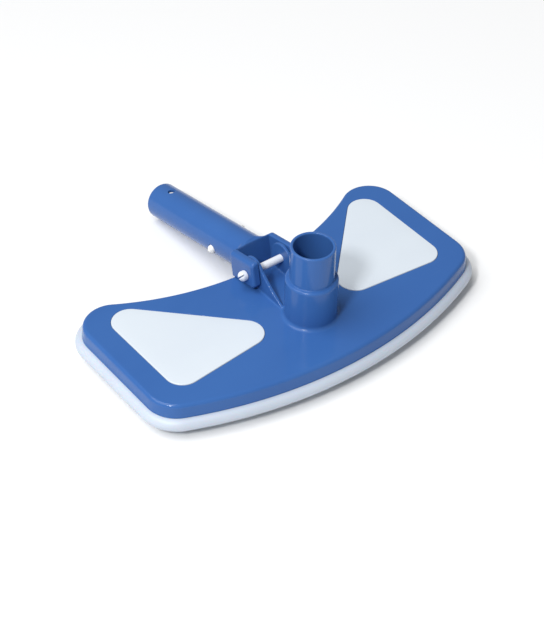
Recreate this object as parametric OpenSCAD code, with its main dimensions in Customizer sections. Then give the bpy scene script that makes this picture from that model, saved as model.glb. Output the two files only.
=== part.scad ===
// Manual vacuum head: a weighted, wing-shaped pool cleaning head with a hose
// spigot, a tilting pole handle, a soft bumper and brushes underneath.
// Origin: on the floor, under the axis of the hose spigot.
// +X runs along the span, -Y is the bulging front edge, +Z is up.

/* [Deck] */
// Half of the span, measured on the blue side wall
half_span = 140.6; // [136:0.2:150]
// Height of the deck's top face above the floor
deck_top = 28; // [28:0.5:34]
// Thickness of the deck plate
deck_t = 3; // [2.5:0.1:3.5]
// Thickness of the side wall
wall_t = 2.8; // [2:0.1:3.2]
// Radius of the rolled edge between deck and side wall
rim_r = 3; // [2:0.5:3]
// How far the side wall flares out towards its foot
wall_flare = 0.8; // [0:0.1:0.8]
// Distance from the spigot axis to the front edge
front_y = 49; // [48:0.5:52]
// Radius of the bulging front edge
front_r = 320; // [310:5:340]
// Distance from the spigot axis to the hollow rear edge
rear_y = 64.9; // [64.5:0.1:66]
// Radius of the hollow rear edge
rear_r = 215; // [210:1:225]
// Radius of the two front corners
front_corner_r = 24; // [20:1:26]
// Radius of the two rear corners
rear_corner_r = 22; // [19:1:24]

/* [Hose spigot] */
// Radius of the upper stage, for the smaller hose
spigot_upper_r = 16; // [15.5:0.1:16.5]
// Radius of the lower stage, for the larger hose
spigot_lower_r = 19; // [18:0.5:20]
// Radius of the water passage
spigot_bore_r = 13.8; // [13:0.1:14]
// Height of the step above the deck
spigot_step_h = 33.8; // [30:0.1:36]
// Height of the spigot above the deck
spigot_h = 61.8; // [56:0.1:66]

/* [Pivot] */
// Distance of the pivot behind the spigot axis
pivot_y = 50; // [49:0.5:50]
// Height of the pivot above the deck
pivot_h = 12; // [12:0.1:13]
// Radius of the ears around the pivot
ear_r = 11.7; // [10.5:0.1:11.7]
// Thickness of each ear
ear_t = 2.5; // [2:0.1:2.8]
// Distance from the middle to the outer face of an ear
ear_out = 14; // [13.8:0.1:14.1]
// Radius of the pivot bolt's shank
bolt_r = 3; // [2.5:0.1:3.2]

/* [Handle] */
// Outer radius of the handle tube, where the pole fits
tube_r = 14.1; // [14:0.05:14.2]
// Inner radius of the handle tube
tube_bore_r = 11.6; // [11.4:0.1:12]
// Distance from the pivot to the open end of the tube
tube_end = 139; // [136:0.5:139]
// Angle by which the handle lies below level, at rest, in degrees
tilt = 10.8; // [10.6:0.1:10.8]
// Thickness of each yoke cheek
cheek_t = 6; // [5:0.5:6.5]
// Distance of the latch buttons from the pivot
button_at = 52.6; // [52:0.2:56]
// Turn of the latch clip about the tube's axis, in degrees
clip_turn = 12; // [0:1:20]
// Radius of the latch buttons
button_r = 3.2; // [2.8:0.1:3.2]
// Distance from the tube's end to its cross hole
cross_hole_from_end = 16; // [12:1:22]

/* [Bumper and base] */
// Radius of the bumper's nose
nose_r = 5; // [4.5:0.1:5]
// How far the bumper stands out from the side wall
bumper_out = 5.9; // [5.5:0.1:6.5]
// Thickness of the base plate
base_t = 2.5; // [2:0.1:2.5]
// Height of the bristle tips' free length
bristle_l = 6; // [6:0.1:6]
// Thickness of the brush pads
pad_t = 2; // [2:0.1:2]
// Width of a brush pad
pad_w = 13; // [12:0.5:13]

/* [Weights and inlays] */
// Corner radius of the triangular inlays
inlay_r = 13.5; // [12:0.5:14]
// How far an inlay stands above the deck
inlay_proud = 0.45; // [0.3:0.05:0.8]
// Thickness of the steel weights
weight_t = 8; // [5:0.5:10]

/* [Hidden] */
$fn = 96;

eps = 0.1;
// Heights above the floor, from the bristle tips up
pad_top = bristle_l + pad_t;
base_top = pad_top + base_t;
bumper_bottom = pad_top - 1;
bumper_top = bumper_bottom + 2 * nose_r;
lip_t = 2;
deck_under = deck_top - deck_t;
pivot_z = deck_top + pivot_h;

// Centres of the outline's arcs
front_c = [0, front_r - front_y];
rear_c = [0, rear_y + rear_r];
front_corner = corner(front_c, front_r - front_corner_r, half_span - front_corner_r);
rear_corner = corner(rear_c, rear_r + rear_corner_r, half_span - rear_corner_r);
front_a = asin(front_corner[0] / (front_r - front_corner_r));
rear_a = asin(rear_corner[0] / (rear_r + rear_corner_r));

// Rings of the moulding, as distances inside the side wall
bumper_in = 4;
lip_in = 7.5;
clearance = 0.3;
rib_t = 2;
// Fillet at the foot of the spigot, and the gap round its flange
foot_r = 3;
seat_gap = 0.02;

// Corner centres of the right inlay, rear, inner and front
inlay_corners = [[108.3, 68.9], [50, 10.4], [107.7, 4.9]];
inlay_depth = 1.2;
inlay_gap = 0.25;
weight_shrink = 2;
hold_downs = [[72, 22], [98, 24], [98, 56]];
hold_down_r = 3;

// Where the base screws stand on the right side
base_screw_at = [[128, 30], [27, -12], [27, 24]];
boss_r = 4;
base_screw_r = 1.5;
base_head_r = 3;
base_head_h = 1.8;
base_screw_depth = 8;

// Brush pads: arc radius, first and last angle off the middle, screw angles
front_pad = [front_r - 12, 2.6, 19, [6, 15]];
rear_pad = [rear_r + 12, 3.5, 25, [9, 20]];
row_off = 4.2;
row_w = 3.2;
pad_screw_r = 1.2;
pad_head_r = 2.3;
pad_head_h = 1.4;
pad_boss_r = 3;
pad_boss_h = 3.5;

// Yoke, measured along (s) and above (n) the tube axis from the pivot
slot_half = ear_out + 0.5;
cheek_out = slot_half + cheek_t;
cheek_top = 12;
cheek_bottom = -9.2;
cheek_front = -9.5;
cheek_nose_r = 11.3;
cheek_corner_r = 2.5;
slot_end = 17.2;
shoulder_at = 16.8;
tube_start = 24;
// The tube is a little thinner and its bore narrower up to where the pole fits
full_tube_at = 57;
tube_relief = 0.2;
bore_start = 28.5;
full_bore_at = 63.5;
bore_step = 0.25;
cross_hole_r = 2.75;
button_gap = 0.4;
pin_gap = 0.05;

// Pivot bolt and nut
bolt_head_r = 3.9;
bolt_head_h = 3.2;
bolt_dome_h = 2.8;
bolt_slot = 1;
bolt_slot_depth = 2.2;
bolt_slot_turn = 49;
nut_r = 5.77;
nut_h = 5;
bolt_tail = 1.5;

// Latch clip inside the tube
clip_t = 1.2;
clip_w = 7;
clip_bend_at = 36;
clip_bend_r = 5;
clip_leg_end = 62;
clip_leg_x = 9.9;
button_tip_x = 17.2;
button_cone = 2.2;

function corner(c, dist, x) = [x, c[1] - sqrt(dist * dist - x * x)];
function on_circle(c, r, a) = [c[0] + r * cos(a), c[1] + r * sin(a)];
function arc(c, r, a0, a1, n) = [for (i = [0:n]) on_circle(c, r, a0 + (a1 - a0) * i / n)];
function tail(points) = [for (i = [1:len(points) - 1]) points[i]];

// Right half of the outline, grown outwards by d, from front to rear middle
function half_outline(d) = concat(
    arc(front_c, front_r + d, -90, front_a - 90, 11),
    tail(arc(front_corner, front_corner_r + d, front_a - 90, 0, 8)),
    arc(rear_corner, rear_corner_r + d, 0, 90 + rear_a, 12),
    tail(arc(rear_c, rear_r - d, rear_a - 90, -90, 11)));
function outline_points(d) =
    let (h = half_outline(d), n = len(h))
    concat(h, [for (i = [n - 2:-1:1]) [-h[i][0], h[i][1]]]);

module outline(d) {
    polygon(outline_points(d));
}

// Mirrors its children for side -1 and leaves them for side 1
module scale_x(side) {
    if (side < 0) mirror([1, 0, 0]) children();
    else children();
}

// A band that follows the outline, between two distances inside the wall
module band(outer, inner, z0, z1) {
    translate([0, 0, z0]) linear_extrude(z1 - z0) difference() {
        outline(-outer);
        outline(-inner);
    }
}

// A closed solid through the outline at each [growth, height] of a profile
module outline_loft(profile) {
    rings = [for (p = profile) [for (q = outline_points(p[0])) [q[0], q[1], p[1]]]];
    n = len(rings[0]);
    last = len(profile) - 1;
    points = [for (ring = rings) each ring];
    sides = [for (k = [0:last - 1]) for (i = [0:n - 1])
        [k * n + i, k * n + n + i, k * n + n + (i + 1) % n, k * n + (i + 1) % n]];
    bottom = [for (i = [0:n - 1]) i];
    top = [for (i = [n - 1:-1:0]) last * n + i];
    polyhedron(points, concat([bottom, top], sides), convexity = 6);
}

module inlay_outline(grow) {
    hull() for (p = inlay_corners) translate(p) circle(inlay_r + grow, $fn = 64);
}

// ---- Head -------------------------------------------------------------

// Deck with its rolled edge and side wall, hollow from below
module deck_body() {
    steps = 5;
    roll = [for (i = [0:steps]) let (a = 90 * i / steps)
        [-rim_r * (1 - cos(a)), deck_top - rim_r + rim_r * sin(a)]];
    difference() {
        outline_loft(concat([[wall_flare, bumper_top]], roll));
        translate([0, 0, bumper_top - 1]) linear_extrude(deck_under - bumper_top + 1)
            outline(-wall_t);
    }
}

// Stepped hose spigot above the deck, its flange in the deck and the throat below
module spigot() {
    foot = [for (i = [0:6]) let (a = 90 * i / 6)
        [spigot_lower_r + foot_r * (1 - sin(a)), deck_top + foot_r * (1 - cos(a))]];
    shoulder_r = spigot_lower_r - spigot_upper_r - 1;
    step_z = deck_top + spigot_step_h;
    step = [for (i = [0:6]) let (a = 90 * i / 6)
        [spigot_lower_r - shoulder_r * (1 - cos(a)), step_z - shoulder_r * (1 - sin(a))]];
    tip_z = deck_top + spigot_h;
    color("#3f70b6") rotate_extrude($fn = 128) polygon(concat(
        [[spigot_bore_r, pad_top + 0.5], [16.3, pad_top + 0.5], [16.3, deck_under],
            [spigot_lower_r + foot_r, deck_under]],
        foot, step,
        [[spigot_upper_r, step_z], [spigot_upper_r, tip_z - 0.8],
            [spigot_upper_r - 0.5, tip_z], [spigot_bore_r, tip_z]]));
}

// Side view of an ear with its web, in (y, z) from the deck at y = 0
module ear_profile() {
    web_curve_r = 100;
    foot = [14, 0];
    neck = [pivot_y - 9.7, pivot_h + 6.2];
    span = norm(neck - foot);
    mid = (neck + foot) / 2;
    out = [-(neck[1] - foot[1]), neck[0] - foot[0]] / span;
    centre = mid + out * sqrt(web_curve_r * web_curve_r - span * span / 4);
    difference() {
        union() {
            translate([pivot_y, pivot_h]) circle(ear_r);
            polygon([foot, neck, [pivot_y, pivot_h],
                [pivot_y + ear_r, pivot_h], [pivot_y + ear_r, 0]]);
        }
        translate(centre) circle(web_curve_r, $fn = 360);
    }
}

// One ear, cut clear of the spigot's foot: side 1 is the right-hand one
module ear(side) {
    color("#3f70b6") scale_x(side) difference() {
        translate([ear_out - ear_t, 0, deck_top]) rotate([90, 0, 90])
            linear_extrude(ear_t) ear_profile();
        translate([0, 0, deck_top - 1])
            cylinder(r = spigot_lower_r + foot_r + seat_gap, h = foot_r + 1);
        translate([0, pivot_y, pivot_z]) rotate([0, 90, 0])
            cylinder(r = bolt_r + pin_gap, h = 60);
    }
}

module top_shell() {
    color("#3f70b6") difference() {
        union() {
            deck_body();
            band(bumper_in + clearance, bumper_in + clearance + rib_t,
                base_top + lip_t, deck_under + eps);
            for (side = [-1, 1]) scale_x(side) {
                for (p = base_screw_at) translate([p[0], p[1], base_top])
                    cylinder(r = boss_r, h = deck_under - base_top + eps);
                for (p = hold_downs) translate([p[0], p[1], base_top + weight_t])
                    cylinder(r = hold_down_r, h = deck_under + eps - base_top - weight_t);
            }
        }
        translate([0, 0, pad_top])
            cylinder(r = spigot_lower_r + foot_r + seat_gap, h = 2 * spigot_h);
        for (side = [-1, 1]) scale_x(side) {
            translate([0, 0, deck_top - inlay_depth]) linear_extrude(2)
                inlay_outline(inlay_gap);
            for (p = base_screw_at) translate([p[0], p[1], base_top - eps])
                cylinder(r = base_screw_r, h = base_screw_depth + 1, $fn = 48);
        }
    }
}

// Soft ring with a half-round nose, held by a thin inner lip
module bumper() {
    steps = 10;
    nose = [for (i = [0:steps]) let (a = 180 * i / steps)
        [bumper_out - nose_r + nose_r * sin(a),
            bumper_bottom + nose_r - nose_r * cos(a)]];
    color("#e4eef8") union() {
        difference() {
            outline_loft(nose);
            translate([0, 0, bumper_bottom - 1]) linear_extrude(4 * nose_r)
                outline(-bumper_in);
        }
        band(bumper_in - 1, lip_in, base_top, base_top + lip_t);
    }
}

module base_plate() {
    color("#dfe3ea") difference() {
        union() {
            translate([0, 0, pad_top]) linear_extrude(base_t)
                outline(-bumper_in - clearance);
            for (side = [-1, 1]) scale_x(side) {
                pad_screw_places(front_c[1], front_pad) translate([0, 0, base_top - eps])
                    cylinder(r = pad_boss_r, h = pad_boss_h);
                pad_screw_places(rear_c[1], rear_pad) translate([0, 0, base_top - eps])
                    cylinder(r = pad_boss_r, h = pad_boss_h);
            }
        }
        translate([0, 0, pad_top - 1]) cylinder(r = 16.5, h = base_t + 2);
        for (side = [-1, 1]) scale_x(side) {
            for (p = base_screw_at) translate([p[0], p[1], pad_top - 1])
                cylinder(r = base_screw_r + 0.2, h = base_t + 2, $fn = 48);
            pad_screw_places(front_c[1], front_pad) pad_pilot();
            pad_screw_places(rear_c[1], rear_pad) pad_pilot();
        }
    }
}

module pad_pilot() {
    translate([0, 0, pad_top - 1])
        cylinder(r = pad_screw_r, h = base_t + pad_boss_h, $fn = 48);
}

// ---- Brushes ----------------------------------------------------------

// Puts its children at the two screw places of a right-hand pad
module pad_screw_places(centre_y, pad) {
    for (a = pad[3]) translate(on_circle([0, centre_y], pad[0], a - 90)) children();
}

// Curved strip with round ends around (0, centre_y), between two angles
module arc_strip(centre_y, r, w, a0, a1) {
    c = [0, centre_y];
    half = w / 2;
    polygon(concat(
        arc(c, r + half, a0 - 90, a1 - 90, 24),
        tail(arc(on_circle(c, r, a1 - 90), half, a1 - 90, a1 + 90, 12)),
        tail(arc(c, r - half, a1 - 90, a0 - 90, 24)),
        tail(arc(on_circle(c, r, a0 - 90), half, a0 + 90, a0 + 269, 12))));
}

// One pad: side 1 is the right-hand one
module brush_pad(side, centre_y, pad) {
    color("#d4dae4") scale_x(side) difference() {
        translate([0, 0, bristle_l]) linear_extrude(pad_t)
            arc_strip(centre_y, pad[0], pad_w, pad[1], pad[2]);
        pad_screw_places(centre_y, pad)
            cylinder(r = pad_screw_r + 0.2, h = 3 * pad_top, $fn = 48);
    }
}

// Two rows of bristles under one pad
module bristle_rows(side, centre_y, pad) {
    color("#eef2f7") scale_x(side) for (off = [-row_off, row_off])
        linear_extrude(bristle_l)
            arc_strip(centre_y, pad[0] + off, row_w, pad[1], pad[2]);
}

module brush_screws() {
    color("#c9ced6") for (side = [-1, 1]) scale_x(side) {
        pad_screw_places(front_c[1], front_pad) pad_screw();
        pad_screw_places(rear_c[1], rear_pad) pad_screw();
    }
}

module pad_screw() {
    translate([0, 0, bristle_l - pad_head_h])
        cylinder(r = pad_head_r, h = pad_head_h, $fn = 48);
    translate([0, 0, bristle_l - eps])
        cylinder(r = pad_screw_r, h = pad_t + base_t + pad_boss_h - 1, $fn = 48);
}

module base_screws() {
    color("#c9ced6") for (side = [-1, 1]) scale_x(side)
        for (p = base_screw_at) translate([p[0], p[1], pad_top]) {
            translate([0, 0, -base_head_h])
                cylinder(r = base_head_r, h = base_head_h, $fn = 48);
            translate([0, 0, -eps])
                cylinder(r = base_screw_r, h = base_t + base_screw_depth + eps, $fn = 48);
        }
}

// ---- Weights and inlays -----------------------------------------------

module weight(side) {
    color("#8a8f96") scale_x(side) translate([0, 0, base_top])
        linear_extrude(weight_t) inlay_outline(-weight_shrink);
}

module inlay(side) {
    color("#dfe6f0") scale_x(side) translate([0, 0, deck_top - inlay_depth])
        linear_extrude(inlay_depth + inlay_proud) inlay_outline(0);
}

// ---- Handle -----------------------------------------------------------

// Places its children in the handle's frame: +Y along the tube from the pivot
module at_pivot() {
    translate([0, pivot_y, pivot_z]) rotate([-tilt, 0, 0]) children();
}

// The same, turned with the latch clip about the tube's axis
module at_clip() {
    at_pivot() rotate([0, -clip_turn, 0]) children();
}

module along_tube(r, s0, s1) {
    translate([0, s0, 0]) rotate([-90, 0, 0]) cylinder(r = r, h = s1 - s0);
}

// Side view of a cheek, with a round nose that clears the deck
module cheek_profile() {
    intersection() {
        circle(cheek_nose_r);
        translate([-20, cheek_bottom]) square([40, 40]);
    }
    translate([cheek_front + cheek_corner_r, 0])
        square([shoulder_at + 1.2 - cheek_front - cheek_corner_r, cheek_top]);
    translate([cheek_front, 0]) square([10, cheek_top - cheek_corner_r]);
    translate([cheek_front + cheek_corner_r, cheek_top - cheek_corner_r])
        circle(cheek_corner_r);
    translate([0, cheek_bottom]) square([shoulder_at + 1.2, cheek_top]);
}

// Blends the yoke's box section into the round tube
module shoulder() {
    hull() {
        for (x = [-1, 1], z = [cheek_bottom + cheek_corner_r, cheek_top - cheek_corner_r])
            translate([x * (cheek_out - cheek_corner_r), shoulder_at, z])
                rotate([-90, 0, 0]) cylinder(r = cheek_corner_r, h = 1.2, $fn = 32);
        translate([0, tube_start, 0]) rotate([-90, 0, 0])
            cylinder(r = tube_r - tube_relief - 0.05, h = 1, $fn = 64);
    }
}

module handle() {
    color("#3f70b6") at_pivot() difference() {
        union() {
            along_tube(tube_r - tube_relief, tube_start, full_tube_at);
            along_tube(tube_r, full_tube_at, tube_end);
            shoulder();
            for (x = [-cheek_out, slot_half]) translate([x, 0, 0])
                rotate([90, 0, 90]) linear_extrude(cheek_t) cheek_profile();
        }
        translate([-slot_half, -30, -30]) cube([2 * slot_half, 30 + slot_end, 60]);
        along_tube(tube_bore_r - bore_step, bore_start, full_bore_at + eps);
        along_tube(tube_bore_r, full_bore_at, tube_end + 1);
        translate([-30, 0, 0]) rotate([0, 90, 0])
            cylinder(r = bolt_r + pin_gap, h = 60);
        rotate([0, -clip_turn, 0]) translate([-30, button_at, 0]) rotate([0, 90, 0])
            cylinder(r = button_r + button_gap, h = 60);
        translate([0, tube_end - cross_hole_from_end, -30])
            cylinder(r = cross_hole_r, h = 60);
    }
}

// Slotted bolt with a high round head through both cheeks and both ears
module pivot_bolt() {
    face = -cheek_out - bolt_head_h;
    dome_r = (bolt_head_r * bolt_head_r + bolt_dome_h * bolt_dome_h) / (2 * bolt_dome_h);
    color("#e8edf5") at_pivot() difference() {
        union() {
            translate([face, 0, 0]) rotate([0, 90, 0])
                cylinder(r = bolt_head_r, h = bolt_head_h);
            intersection() {
                translate([face - bolt_dome_h + dome_r, 0, 0]) sphere(r = dome_r);
                translate([face - 2 * bolt_dome_h, -10, -10])
                    cube([2 * bolt_dome_h + eps, 20, 20]);
            }
            translate([-cheek_out - eps, 0, 0]) rotate([0, 90, 0])
                cylinder(r = bolt_r, h = 2 * cheek_out + nut_h + bolt_tail + eps);
        }
        translate([face - bolt_dome_h, 0, 0]) rotate([tilt - bolt_slot_turn, 0, 0])
            cube([2 * bolt_slot_depth, 30, bolt_slot], center = true);
    }
}

module pivot_nut() {
    color("#e8edf5") at_pivot() difference() {
        translate([cheek_out, 0, 0]) rotate([0, 90, 0])
            cylinder(r = nut_r, h = nut_h, $fn = 6);
        translate([cheek_out - 1, 0, 0]) rotate([0, 90, 0])
            cylinder(r = bolt_r, h = nut_h + 2);
    }
}

// Half-round spring bend that rests inside the tube
module clip_bend() {
    color("#f0f0ec") at_clip() translate([0, clip_bend_at, -clip_w / 2])
        linear_extrude(clip_w) intersection() {
            difference() {
                circle(clip_bend_r + clip_t / 2);
                circle(clip_bend_r - clip_t / 2);
            }
            translate([-20, -20]) square([40, 20]);
        }
}

// Spring leg from the bend out to its button
module clip_leg(side) {
    start = clip_bend_at + clearance;
    knee = button_at - 6;
    half = clip_t / 2;
    color("#f0f0ec") at_clip() scale_x(side) translate([0, 0, -clip_w / 2])
        linear_extrude(clip_w) polygon([
            [clip_bend_r - half, start], [clip_bend_r + half, start],
            [clip_leg_x + half, knee], [clip_leg_x + half, clip_leg_end],
            [clip_leg_x - half, clip_leg_end], [clip_leg_x - half, knee]]);
}

// Latch button with a cone-shaped tip
module button(side) {
    tip = button_tip_x - button_cone;
    face = clip_leg_x + clip_t / 2;
    color("#f4f4f2") at_clip() scale_x(side) translate([0, button_at, 0])
        rotate([0, 90, 0]) rotate_extrude($fn = 64) polygon([
            [0, face], [button_r, face], [button_r, tip],
            [1, button_tip_x], [0, button_tip_x]]);
}

top_shell();
spigot();
ear(-1);  // ear_left
ear(1);  // ear_right
bumper();
base_plate();
brush_pad(-1, front_c[1], front_pad);  // pad_front_left
brush_pad(1, front_c[1], front_pad);  // pad_front_right
brush_pad(-1, rear_c[1], rear_pad);  // pad_rear_left
brush_pad(1, rear_c[1], rear_pad);  // pad_rear_right
bristle_rows(-1, front_c[1], front_pad);  // bristles_front_left
bristle_rows(1, front_c[1], front_pad);  // bristles_front_right
bristle_rows(-1, rear_c[1], rear_pad);  // bristles_rear_left
bristle_rows(1, rear_c[1], rear_pad);  // bristles_rear_right
brush_screws();
base_screws();
weight(-1);  // weight_left
weight(1);  // weight_right
inlay(-1);  // inlay_left
inlay(1);  // inlay_right
handle();
pivot_bolt();
pivot_nut();
clip_bend();
clip_leg(-1);  // clip_leg_left
clip_leg(1);  // clip_leg_right
button(-1);  // button_left
button(1);  // button_right
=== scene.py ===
import math
import bmesh
import bpy
import numpy as np
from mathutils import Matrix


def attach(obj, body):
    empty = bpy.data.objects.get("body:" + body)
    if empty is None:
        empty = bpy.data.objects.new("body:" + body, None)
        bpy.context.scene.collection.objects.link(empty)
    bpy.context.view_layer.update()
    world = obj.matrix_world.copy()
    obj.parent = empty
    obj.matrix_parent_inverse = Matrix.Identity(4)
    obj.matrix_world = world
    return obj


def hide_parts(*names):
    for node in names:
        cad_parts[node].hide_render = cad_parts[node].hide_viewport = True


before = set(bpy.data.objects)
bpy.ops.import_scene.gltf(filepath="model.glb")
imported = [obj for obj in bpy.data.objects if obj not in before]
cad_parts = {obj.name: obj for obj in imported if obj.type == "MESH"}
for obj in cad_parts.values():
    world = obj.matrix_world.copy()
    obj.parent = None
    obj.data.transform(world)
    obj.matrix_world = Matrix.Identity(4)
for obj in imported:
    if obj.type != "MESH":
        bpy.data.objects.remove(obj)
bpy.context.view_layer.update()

# ---- Studio ---------------------------------------------------------------
# A pale floor that runs out to the horizon, a wide softbox overhead, a small key
# light from the front left, and a bright room all round.

FLOOR_WHITE = (0.86, 0.865, 0.87, 1)
FLOOR_SIZE = 8.0
ROOM_LIGHT = 0.30


def plain_material(name, colour, roughness):
    """A new material and its Principled shader, with colour and roughness set."""
    material = bpy.data.materials.new(name)
    material.use_nodes = True
    shader = material.node_tree.nodes["Principled BSDF"]
    shader.inputs["Base Color"].default_value = colour
    shader.inputs["Roughness"].default_value = roughness
    return material, shader


half = FLOOR_SIZE / 2
floor_mesh = bpy.data.meshes.new("studio_floor")
floor_corners = [(-half, -half, 0), (half, -half, 0), (half, half, 0), (-half, half, 0)]
floor_mesh.from_pydata(floor_corners, [], [(0, 1, 2, 3)])
floor = bpy.data.objects.new("studio_floor", floor_mesh)
bpy.context.scene.collection.objects.link(floor)
floor_material, floor_shader = plain_material("studio_floor", FLOOR_WHITE, 0.9)
floor_mesh.materials.append(floor_material)

room = bpy.data.worlds.new("studio_room")
room.use_nodes = True
room.node_tree.nodes["Background"].inputs["Color"].default_value = (1, 1, 1, 1)
room.node_tree.nodes["Background"].inputs["Strength"].default_value = ROOM_LIGHT
bpy.context.scene.world = room
bpy.context.scene.view_settings.view_transform = "Standard"


def lamp_at(light, place, aim):
    """Adds a light at place, turned so that it shines at aim."""
    lamp = bpy.data.objects.new(light.name, light)
    bpy.context.scene.collection.objects.link(lamp)
    back = np.array(place, float) - np.array(aim, float)
    back /= np.linalg.norm(back)
    side = np.cross((0, 0, 1), back)
    side /= np.linalg.norm(side)
    rows = np.eye(4)
    rows[:3] = np.stack([side, np.cross(back, side), back, place], -1)
    lamp.matrix_world = rows.T.tolist()


softbox = bpy.data.lights.new("overhead_softbox", "SUN")
softbox.angle = math.radians(50)
softbox.energy = 2.1
lamp_at(softbox, (-0.40, 0.16, 0.90), (0, 0, 0))
key = bpy.data.lights.new("key_light", "AREA")
key.size = 0.24
key.energy = 15
lamp_at(key, (-1.06, -0.50, 1.27), (0, 0.03, 0.03))

# The camera looks from the front left and above, with a slight roll.
CAMERA_PLACE = (-0.5558, -0.6642, 0.7922)
CAMERA_TURN = math.radians(-38.10)
CAMERA_RISE = math.radians(41.34)
CAMERA_ROLL = math.radians(1.0)

camera_data = bpy.data.cameras.new("camera")
camera_data.lens = 94.2
camera_data.sensor_width = 36
camera_data.sensor_fit = "AUTO"
camera = bpy.data.objects.new("camera", camera_data)
bpy.context.scene.collection.objects.link(camera)
turn_cos, turn_sin = math.cos(CAMERA_TURN), math.sin(CAMERA_TURN)
back = np.array([turn_sin * math.cos(CAMERA_RISE), -turn_cos * math.cos(CAMERA_RISE), math.sin(CAMERA_RISE)])
right = np.array([turn_cos, turn_sin, 0])
up = np.cross(back, right)
rows = np.eye(4)
rows[:3, 0] = right * math.cos(CAMERA_ROLL) + up * math.sin(CAMERA_ROLL)
rows[:3, 1] = up * math.cos(CAMERA_ROLL) - right * math.sin(CAMERA_ROLL)
rows[:3, 2] = back
rows[:3, 3] = CAMERA_PLACE
camera.matrix_world = rows.T.tolist()
bpy.context.scene.camera = camera

# ---- Deck of the top shell --------------------------------------------------
# The blue wing-shaped deck is one ABS moulding with a rolled edge and a low side
# wall. Two shallow pockets take the inlays, and the hub stands over its hole.

DECK_TOP = 0.028
DECK_UNDER = 0.025
WALL_FOOT = 0.017
WALL = 0.0028
ROLL = 0.003
HALF_SPAN = 0.1406
FLARE = 0.0008
FRONT_Y, FRONT_R, FRONT_CORNER_R = -0.049, 0.320, 0.024
REAR_Y, REAR_R, REAR_CORNER_R = 0.0649, 0.215, 0.022
INLAY_CORNERS = np.array([(0.1083, 0.0689), (0.0500, 0.0104), (0.1077, 0.0049)])
INLAY_R = 0.0135
POCKET_GAP = 0.00025
POCKET_FLOOR = 0.0268
HOLE_R = 0.017
HOLD = 0.0004


def arc(centre, radius, start, end, count):
    """Points on a circle from angle start to angle end, in degrees, as x and y."""
    angle = np.radians(np.linspace(start, end, count))
    return np.stack([centre[0] + radius * np.cos(angle), centre[1] + radius * np.sin(angle)], -1)


def outline(grow):
    """The wing's closed outline, grown outwards: front arc, front corner, rear corner
    and hollow rear arc on the right, then the same points mirrored on the left."""
    front = np.array([0, FRONT_Y + FRONT_R])
    rear = np.array([0, REAR_Y + REAR_R])
    x = HALF_SPAN - FRONT_CORNER_R
    front_corner = np.array([x, front[1] - math.sqrt((FRONT_R - FRONT_CORNER_R) ** 2 - x * x)])
    front_angle = math.degrees(math.asin(x / (FRONT_R - FRONT_CORNER_R)))
    x = HALF_SPAN - REAR_CORNER_R
    rear_corner = np.array([x, rear[1] - math.sqrt((REAR_R + REAR_CORNER_R) ** 2 - x * x)])
    rear_angle = math.degrees(math.asin(x / (REAR_R + REAR_CORNER_R)))
    right_half = np.concatenate([
        arc(front, FRONT_R + grow, -90, front_angle - 90, 36),
        arc(front_corner, FRONT_CORNER_R + grow, front_angle - 90, 0, 20)[1:],
        arc(rear_corner, REAR_CORNER_R + grow, 0, 90 + rear_angle, 28),
        arc(rear, REAR_R - grow, rear_angle - 90, -90, 30)[1:]])
    return np.concatenate([right_half, (right_half * (-1, 1))[-2:0:-1]])


def inlay_outline(grow, side):
    """The rounded triangle, grown outwards: an arc about each corner centre, between the
    normals of the two edges that meet there. Side -1 is the left one."""
    loop = []
    for k in range(3):
        before = INLAY_CORNERS[k] - INLAY_CORNERS[k - 1]
        after = INLAY_CORNERS[(k + 1) % 3] - INLAY_CORNERS[k]
        start = math.degrees(math.atan2(-before[0], before[1]))
        turn = (math.degrees(math.atan2(-after[0], after[1])) - start) % 360
        loop.append(arc(INLAY_CORNERS[k], INLAY_R + grow, start, start + turn, 20))
    return np.concatenate(loop) * (side, 1)


def circle(radius, count=96):
    """A closed circle about the hose axis."""
    return arc((0, 0), radius, 0, 360, count + 1)[:-1]


def strip(path, profile):
    """Carries a profile of (grow, height) pairs along a closed path that can be grown:
    ring k is path(grow k) at height k, and quads join each ring to the next."""
    rings = np.stack([np.insert(path(grow), 2, height, axis=1) for grow, height in profile])
    levels, count = rings.shape[:2]
    k, i = np.meshgrid(np.arange(levels - 1), np.arange(count), indexing="ij")
    j = (i + 1) % count
    quads = np.stack([k * count + i, k * count + j, (k + 1) * count + j, (k + 1) * count + i], -1)
    return rings.reshape(-1, 3), quads.reshape(-1, 4).tolist()


def flat_region(loops, height):
    """Fills the flat area between closed loops at one height with triangles."""
    bm = bmesh.new()
    edges = []
    for loop in loops:
        verts = [bm.verts.new((x, y, height)) for x, y in loop]
        edges += [bm.edges.new((verts[i - 1], verts[i])) for i in range(len(verts))]
    bmesh.ops.triangle_fill(bm, use_beauty=True, edges=edges, normal=(0, 0, 1))
    bm.verts.index_update()
    points = np.array([v.co[:] for v in bm.verts])
    faces = [[v.index for v in f.verts] for f in bm.faces]
    bm.free()
    return points, faces


def quarter(grow, height, radius, start, steps=6):
    """Points of a quarter circle in a profile, from angle start on, counter-clockwise."""
    return [tuple(p) for p in arc((grow, height), radius, start, start + 90, steps + 1)]


def joined(parts):
    """Joins parts of (points, faces) into one list of points and one of faces."""
    points = np.concatenate([p for p, _ in parts])
    faces, start = [], 0
    for part_points, part_faces in parts:
        faces += [[i + start for i in face] for face in part_faces]
        start += len(part_points)
    return points, faces


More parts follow.
